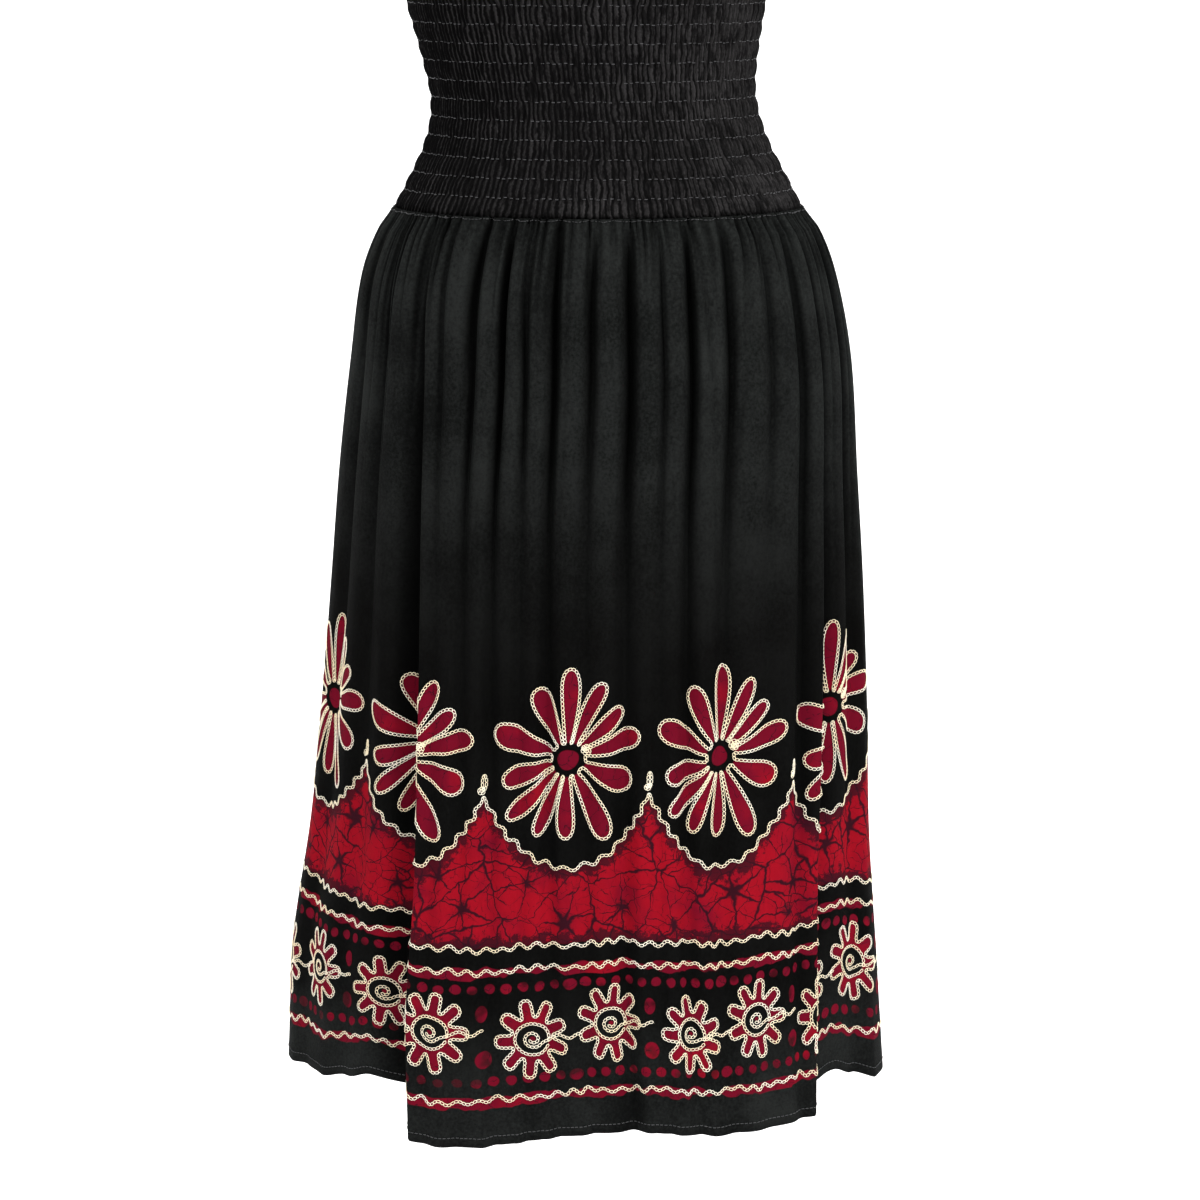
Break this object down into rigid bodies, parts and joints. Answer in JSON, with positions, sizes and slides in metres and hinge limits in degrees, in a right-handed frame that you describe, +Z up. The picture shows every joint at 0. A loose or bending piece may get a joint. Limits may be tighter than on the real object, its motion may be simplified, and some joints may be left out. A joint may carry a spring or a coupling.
{
  "type": "convertible midi dress",
  "caption": "Strapless dress with a shirred, elasticated bodice and a full gathered midi skirt with an embroidered batik border.",
  "frame": {"origin": "centre of the waist, the narrowest level of the bodice, where the wearer's waist holds the dress", "axes": "+Z up from the hem to the bodice's top edge, -Y to the front, +X to the wearer's left"},
  "size_m": [0.514, 0.2892, 1.062],
  "materials": {
    "bodice_cloth": "matte",
    "skirt_cloth": "matte"
  },
  "bodies": {
    "root": {"bodice_front": "bodice_cloth", "bodice_back": "bodice_cloth", "skirt_front": "skirt_cloth", "skirt_back": "skirt_cloth"}
  },
  "joints": []
}
